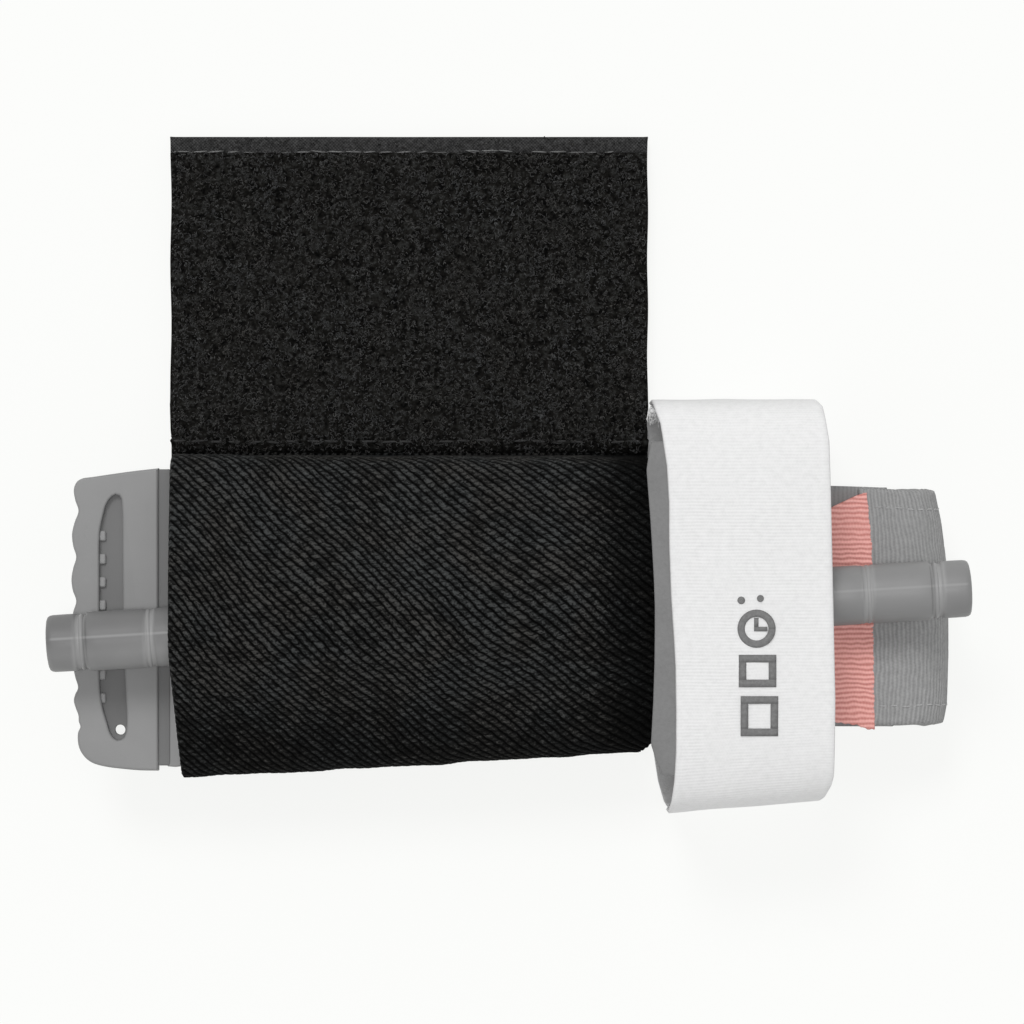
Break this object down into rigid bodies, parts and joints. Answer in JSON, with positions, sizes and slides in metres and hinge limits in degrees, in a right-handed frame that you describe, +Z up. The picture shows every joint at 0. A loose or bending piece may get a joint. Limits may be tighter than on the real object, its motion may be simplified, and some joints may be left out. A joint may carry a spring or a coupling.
{
  "type": "windlass tourniquet in an elastic holder",
  "caption": "Limb tourniquet with a windlass rod, routing buckle and clip, folded and drawn into an elastic sleeve with a hook-and-loop attachment flap.",
  "frame": {"origin": "on the table under the middle of the overall box, with the holder lying on its back", "axes": "+X along the windlass rod, from the buckle end to the tip end; +Y from the sleeve towards the flap; +Z up, away from the wearer"},
  "size_m": [0.1472, 0.1094, 0.0349],
  "materials": {
    "black_elastic": "twill elastic",
    "black_hook": "hook tape",
    "black_backing": "plain woven tape",
    "black_loop": "loop pile",
    "pale_thread": "sewing thread",
    "dark_thread": "sewing thread",
    "grey_band": "ribbed loop webbing",
    "grey_inner_band": "flat webbing",
    "red_cover": "ribbed tape",
    "grey_thread": "sewing thread",
    "grey_plastic": "moulded, satin",
    "grey_rod_plastic": "moulded, semi-gloss",
    "white_strap": "ribbed write-on tape",
    "grey_lining": "hook tape"
  },
  "bodies": {
    "holder": {"sleeve_elastic": "black_elastic"},
    "flap": {"sleeve_seam_tails": "black_elastic", "flap_hook_panel": "black_hook", "flap_backing": "black_backing", "flap_loop_panel": "black_loop", "flap_top_stitching": "pale_thread", "flap_seam_stitching": "dark_thread"},
    "tourniquet": {"outer_band": "grey_band", "inner_band": "grey_inner_band", "red_tip": "red_cover", "band_edge_stitching": "grey_thread", "buckle_loop_stitching": "grey_thread", "base_plate": "grey_plastic", "windlass_clip": "grey_plastic", "clip_rivets": "grey_plastic", "strap_back": "white_strap", "strap_back_lining": "grey_lining", "strap_stitching": "grey_thread"},
    "strap_flap": {"strap_front": "white_strap", "strap_front_lining": "grey_lining"},
    "rod": {"windlass_rod": "grey_rod_plastic", "inner_band_bight": "grey_inner_band"},
    "buckle": {"routing_buckle": "grey_plastic"}
  },
  "joints": [
    {"name": "flap_fold", "type": "hinge", "parent": "holder", "child": "flap", "pos_m": [-0.01525, 0.0057, 0.00275], "axis": [1, 0, 0], "range_deg": [-90, 90]},
    {"name": "tourniquet_slide", "type": "slide", "parent": "holder", "child": "tourniquet", "axis": [1, 0, 0], "range_m": [0, 0.12]},
    {"name": "strap_open", "type": "hinge", "parent": "tourniquet", "child": "strap_flap", "pos_m": [0.0375, -0.05405, 0.01745], "axis": [1, 0, 0], "range_deg": [0, 120]},
    {"name": "windlass_swing", "type": "hinge", "parent": "tourniquet", "child": "rod", "pos_m": [0, -0.02315, 0.026], "axis": [0, 0, 1], "range_deg": [-4, 1.5]},
    {"name": "buckle_pivot", "type": "hinge", "parent": "tourniquet", "child": "buckle", "pos_m": [-0.049, -0.02165, 0.01755], "axis": [0, 1, 0], "range_deg": [0, 5]}
  ]
}
